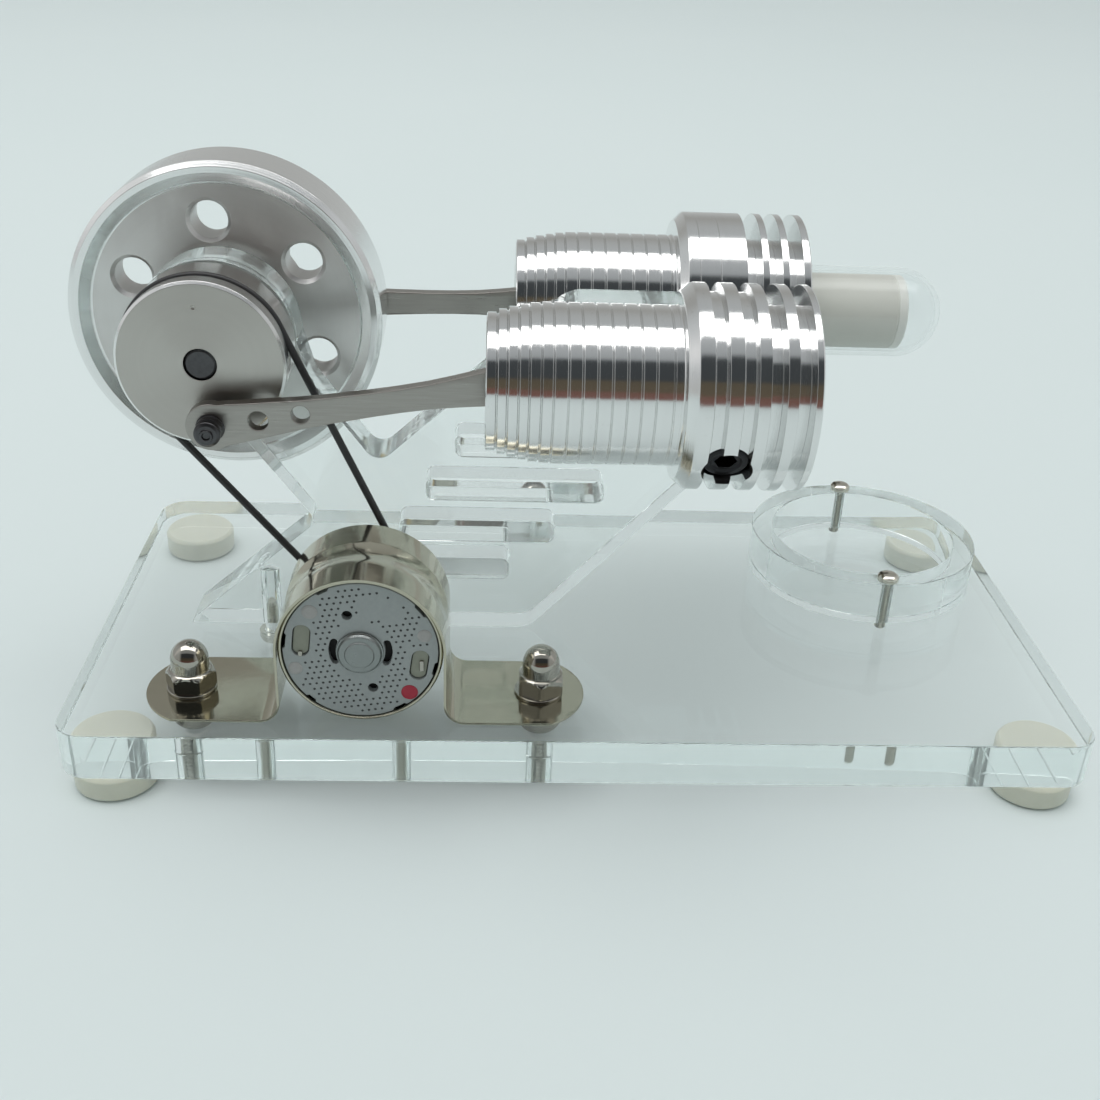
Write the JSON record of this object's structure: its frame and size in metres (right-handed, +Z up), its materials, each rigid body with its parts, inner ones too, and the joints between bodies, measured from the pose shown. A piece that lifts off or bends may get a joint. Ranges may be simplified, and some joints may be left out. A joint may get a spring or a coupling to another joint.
{
  "type": "stirling engine model",
  "caption": "Desk hot-air engine: two horizontal cylinders on a clear acrylic frame drive a flywheel and crank disc, with a belt to a small strapped generator.",
  "frame": {"origin": "centre of the overall bounding box in plan, at the underside of the four feet", "axes": "+Z up; +X along the base towards the hot glass tube; -Y the front, with the power cylinder, crank disc and generator"},
  "size_m": [0.1666, 0.0828, 0.0896],
  "materials": {
    "clear_acrylic": "clear cast acrylic sheet, flame-bright laser-cut edges",
    "silicone": "soft translucent cream silicone",
    "plain_steel": "plain machine-screw steel",
    "bearing_steel": "ground and polished",
    "dark_steel": "dark turned steel",
    "turned_aluminium": "bright fine-turned, fine circular tool marks",
    "black_oxide": "black oxide, socket head",
    "piston_metal": "fine turned steel",
    "brushed_rod": "lengthwise brushed, grey",
    "displacer_metal": "matt thin-wall can",
    "brass": "plain turned brass",
    "black_rubber": "smooth round-section rubber",
    "clear_glass": "clear borosilicate, fire polished",
    "bright_nickel": "bright nickel plate, slightly warm",
    "grey_blue_cap": "light grey-blue with a fine dimple texture",
    "magnet": "dark bonded ferrite",
    "copper": "copper windings and laminations"
  },
  "bodies": {
    "frame": {"base_plate": "clear_acrylic", "frame_plate": "clear_acrylic", "lamp_ring": "clear_acrylic", "foot_front_left": "silicone", "foot_front_right": "silicone", "foot_rear_left": "silicone", "foot_rear_right": "silicone", "ring_screw_front": "plain_steel", "ring_screw_rear": "plain_steel", "frame_screw_1": "plain_steel", "frame_screw_2": "plain_steel", "cylinder_stud_1": "plain_steel", "cylinder_stud_2": "plain_steel", "bearing_front_outer_ring": "bearing_steel", "bearing_rear_outer_ring": "bearing_steel", "power_cylinder": "turned_aluminium", "displacer_cylinder": "turned_aluminium", "cylinder_plug_screw": "black_oxide", "gland_bush": "brass", "glass_seal_ring": "black_rubber", "glass_hot_tube": "clear_glass", "generator_can": "bright_nickel", "generator_end_cap": "grey_blue_cap", "generator_front_bush": "bearing_steel", "generator_rear_bush": "brass", "generator_terminal_left": "brass", "generator_terminal_right": "brass", "generator_magnet_upper": "magnet", "generator_magnet_lower": "magnet", "drive_belt": "black_rubber", "generator_clamp": "bright_nickel", "clamp_bolt_left": "bright_nickel", "clamp_bolt_right": "bright_nickel", "clamp_washer_left": "bright_nickel", "clamp_washer_right": "bright_nickel", "dome_nut_left": "bright_nickel", "dome_nut_right": "bright_nickel"},
    "crank": {"crank_shaft": "dark_steel", "flywheel": "turned_aluminium", "flywheel_set_screw": "black_oxide", "crank_disc": "turned_aluminium", "crank_disc_set_screw": "black_oxide", "bearing_front_inner_ring": "bearing_steel", "bearing_rear_inner_ring": "bearing_steel"},
    "ball_cages": {"bearing_front_ball_cage": "bearing_steel", "bearing_rear_ball_cage": "bearing_steel"},
    "generator_rotor": {"generator_shaft": "plain_steel", "generator_armature": "copper", "generator_commutator": "copper", "generator_pulley": "brass"},
    "power_piston_body": {"power_piston": "piston_metal", "front_wrist_pin": "plain_steel"},
    "front_rod_body": {"front_rod": "brushed_rod", "front_crank_pin": "dark_steel"},
    "displacer_body": {"displacer": "displacer_metal", "displacer_rod": "plain_steel", "displacer_clevis": "piston_metal", "rear_wrist_pin": "plain_steel"},
    "rear_rod_body": {"rear_rod": "brushed_rod", "rear_crank_pin": "dark_steel"}
  },
  "joints": [
    {"name": "crank_spin", "type": "hinge", "parent": "frame", "child": "crank", "pos_m": [-0.05785, 0, 0.0642], "axis": [0, 1, 0], "continuous": true},
    {"name": "ball_cage_spin", "type": "hinge", "parent": "frame", "child": "ball_cages", "pos_m": [-0.05785, 0, 0.0642], "axis": [0, 1, 0], "continuous": true},
    {"name": "generator_spin", "type": "hinge", "parent": "frame", "child": "generator_rotor", "pos_m": [-0.03355, -0.02, 0.0252], "axis": [0, 1, 0], "continuous": true},
    {"name": "power_piston_slide", "type": "slide", "parent": "frame", "child": "power_piston_body", "axis": [1, 0, 0], "range_m": [-0.00932, 0.00708]},
    {"name": "front_rod_swing", "type": "hinge", "parent": "power_piston_body", "child": "front_rod_body", "pos_m": [-0.00973, -0.0223, 0.0642], "axis": [0, 1, 0], "range_deg": [-0.25, 19.85]},
    {"name": "displacer_slide", "type": "slide", "parent": "frame", "child": "displacer_body", "axis": [1, 0, 0], "range_m": [-0.01633, 0.00007]},
    {"name": "rear_rod_swing", "type": "hinge", "parent": "displacer_body", "child": "rear_rod_body", "pos_m": [-0.00272, 0.0169, 0.0642], "axis": [0, 1, 0], "range_deg": [-8.83, 11.27]}
  ],
  "couplings": [
    {"joint": "ball_cage_spin", "follows": "crank_spin", "ratio": 0.4},
    {"joint": "generator_spin", "follows": "crank_spin", "ratio": 1.9841}
  ]
}
